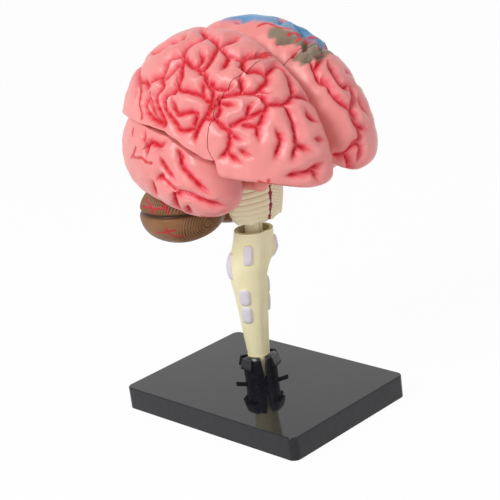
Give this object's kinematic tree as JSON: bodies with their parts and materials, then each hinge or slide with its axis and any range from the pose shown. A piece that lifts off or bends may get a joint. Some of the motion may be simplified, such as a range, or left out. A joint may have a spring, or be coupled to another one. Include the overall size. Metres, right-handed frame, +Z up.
{
  "type": "brain anatomy model",
  "caption": "Take-apart teaching model of a brain with its brain stem and cerebellum, on a cord-shaped stem held by a springy collar on a flat rectangular plate.",
  "frame": {"origin": "centre of the plate's underside, below the collar's axis", "axes": "+Z up, -Y towards the front of the brain, +X towards the brain's left side"},
  "size_m": [0.0982, 0.1196, 0.1795],
  "materials": {
    "black_gloss": "high gloss black moulding",
    "black_collar": "glossy black moulding",
    "cord_cream": "satin cream paint on PVC",
    "stem_cream": "satin cream paint on PVC",
    "core_red": "satin dark red paint on PVC",
    "core_pink": "satin pink PVC",
    "brown_folia": "satin brown paint on PVC",
    "lobe_pink": "satin pink PVC with crimson painted furrows"
  },
  "bodies": {
    "stand": {"base_plate": "black_gloss", "stand_collet": "black_collar"},
    "brain": {"spinal_stem": "cord_cream", "brainstem_right": "stem_cream", "brainstem_left": "stem_cream", "thalamus_block": "core_red", "insula_right": "core_red", "hippocampus_right": "core_pink", "parietal_lobe_right": "lobe_pink", "temporal_lobe_right": "lobe_pink", "cerebellum_right": "brown_folia", "cerebellum_left": "brown_folia"},
    "left_half": {"insula_left": "core_red", "hippocampus_left": "core_pink", "parietal_lobe_left": "lobe_pink", "temporal_lobe_left": "lobe_pink"},
    "frontal_right": {"frontal_lobe_right": "lobe_pink"},
    "frontal_left": {"frontal_lobe_left": "lobe_pink"}
  },
  "joints": [
    {"name": "brain_lift", "type": "slide", "parent": "stand", "child": "brain", "axis": [0, 0, 1], "range_m": [0, 0.016]},
    {"name": "left_half_out", "type": "slide", "parent": "brain", "child": "left_half", "axis": [1, 0, 0], "range_m": [0, 0.03]},
    {"name": "frontal_right_out", "type": "slide", "parent": "brain", "child": "frontal_right", "axis": [0, -1, 0], "range_m": [0, 0.015]},
    {"name": "frontal_left_out", "type": "slide", "parent": "left_half", "child": "frontal_left", "axis": [0, -1, 0], "range_m": [0, 0.015]}
  ]
}
